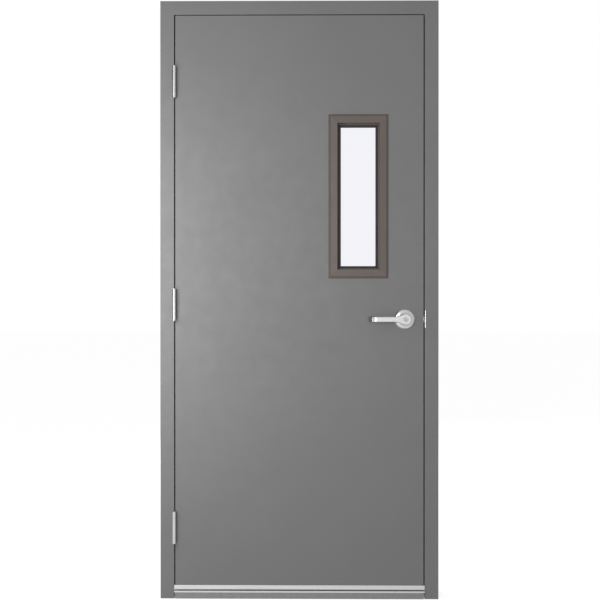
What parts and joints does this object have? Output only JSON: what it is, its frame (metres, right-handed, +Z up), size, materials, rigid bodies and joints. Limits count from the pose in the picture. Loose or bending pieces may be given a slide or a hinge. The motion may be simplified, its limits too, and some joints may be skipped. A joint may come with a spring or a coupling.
{
  "type": "hollow metal door with vision lite in its frame",
  "caption": "Grey flush steel door with a narrow glazed vision lite, lever lock and bottom sweep, hung on butt hinges in a pressed steel frame.",
  "frame": {"origin": "on the floor, in the middle of the whole unit in width and depth", "axes": "+X to the right seen from the pull side, +Y through the wall away from the pull side, +Z up"},
  "size_m": [1.016, 0.2088, 2.1844],
  "materials": {
    "frame_paint": "semi-gloss factory paint on pressed steel",
    "door_paint": "semi-gloss factory paint on flat steel sheet",
    "bare_steel": "galvanised, unpainted",
    "hinge_steel": "satin steel",
    "satin_chrome": "satin chrome",
    "screw_steel": "plated steel",
    "bronze_paint": "satin bronze paint",
    "clear_glass": "clear, polished",
    "black_tape": "matt foam tape",
    "honeycomb": "resin-coated kraft honeycomb",
    "mill_aluminium": "mill finish, bright",
    "grey_vinyl": "matt grey vinyl",
    "grey_rubber": "matt grey rubber"
  },
  "bodies": {
    "frame": {"hinge_jamb": "frame_paint", "strike_jamb": "frame_paint", "frame_head": "frame_paint", "frame_hinge_plate_top": "bare_steel", "frame_hinge_plate_middle": "bare_steel", "frame_hinge_plate_bottom": "bare_steel", "hinge_frame_leaf_top": "hinge_steel", "hinge_frame_leaf_middle": "hinge_steel", "hinge_frame_leaf_bottom": "hinge_steel", "hinge_pin_top": "hinge_steel", "hinge_pin_middle": "hinge_steel", "hinge_pin_bottom": "hinge_steel", "hinge_frame_screws": "screw_steel", "strike_plate": "satin_chrome", "strike_backing_plate": "bare_steel", "strike_dust_box": "bare_steel", "strike_screws": "screw_steel", "door_silencers": "grey_rubber", "wall_anchors_left": "bare_steel", "wall_anchors_right": "bare_steel", "floor_anchor_left": "bare_steel", "floor_anchor_right": "bare_steel"},
    "door": {"front_skin": "door_paint", "back_skin": "door_paint", "top_channel": "door_paint", "bottom_channel": "door_paint", "door_core": "honeycomb", "door_hinge_plate_top": "bare_steel", "door_hinge_plate_middle": "bare_steel", "door_hinge_plate_bottom": "bare_steel", "hinge_door_leaf_top": "hinge_steel", "hinge_door_leaf_middle": "hinge_steel", "hinge_door_leaf_bottom": "hinge_steel", "hinge_door_screws": "screw_steel", "lock_reinforcement": "bare_steel", "latch_faceplate": "satin_chrome", "faceplate_screws": "screw_steel", "latch_case": "bare_steel", "lock_chassis": "bare_steel", "rose_outside": "satin_chrome", "rose_inside": "satin_chrome", "mounting_plate_outside": "bare_steel", "mounting_plate_inside": "bare_steel", "lock_through_bolts": "screw_steel", "lite_frame_front": "bronze_paint", "lite_frame_back": "bronze_paint", "lite_screws": "screw_steel", "lite_glass": "clear_glass", "glazing_tape_front": "black_tape", "glazing_tape_back": "black_tape", "sweep_retainer": "mill_aluminium", "sweep_seal": "grey_vinyl", "sweep_screws": "screw_steel"},
    "outside_handle": {"outside_lever": "satin_chrome", "key_cylinder": "satin_chrome"},
    "key": {"key_plug": "satin_chrome"},
    "inside_handle": {"inside_lever": "satin_chrome"},
    "turn_button": {"inside_turn_button": "satin_chrome"},
    "latch": {"latchbolt": "satin_chrome"}
  },
  "joints": [
    {"name": "door_swing", "type": "hinge", "parent": "frame", "child": "door", "pos_m": [-0.4556, -0.06067, 1.07472], "axis": [0, 0, -1], "range_deg": [0, 175]},
    {"name": "outside_lever_turn", "type": "hinge", "parent": "door", "child": "outside_handle", "pos_m": [0.38415, -0.0194, 1.022], "axis": [0, -1, 0], "range_deg": [0, 50], "stiffness_Nm_per_rad": 1.2, "springref_deg": -34.38},
    {"name": "inside_lever_turn", "type": "hinge", "parent": "door", "child": "inside_handle", "pos_m": [0.38415, -0.0194, 1.022], "axis": [0, -1, 0], "range_deg": [0, 50], "stiffness_Nm_per_rad": 1.2, "springref_deg": -34.38},
    {"name": "key_turn", "type": "hinge", "parent": "outside_handle", "child": "key", "pos_m": [0.38415, -0.0194, 1.022], "axis": [0, -1, 0], "range_deg": [0, 90]},
    {"name": "button_turn", "type": "hinge", "parent": "inside_handle", "child": "turn_button", "pos_m": [0.38415, -0.0194, 1.022], "axis": [0, 1, 0], "range_deg": [0, 90]},
    {"name": "latch_slide", "type": "slide", "parent": "door", "child": "latch", "axis": [-1, 0, 0], "range_m": [0, 0.0127]}
  ],
  "couplings": [
    {"joint": "latch_slide", "follows": "outside_lever_turn", "m_per_rad": 0.014553}
  ]
}
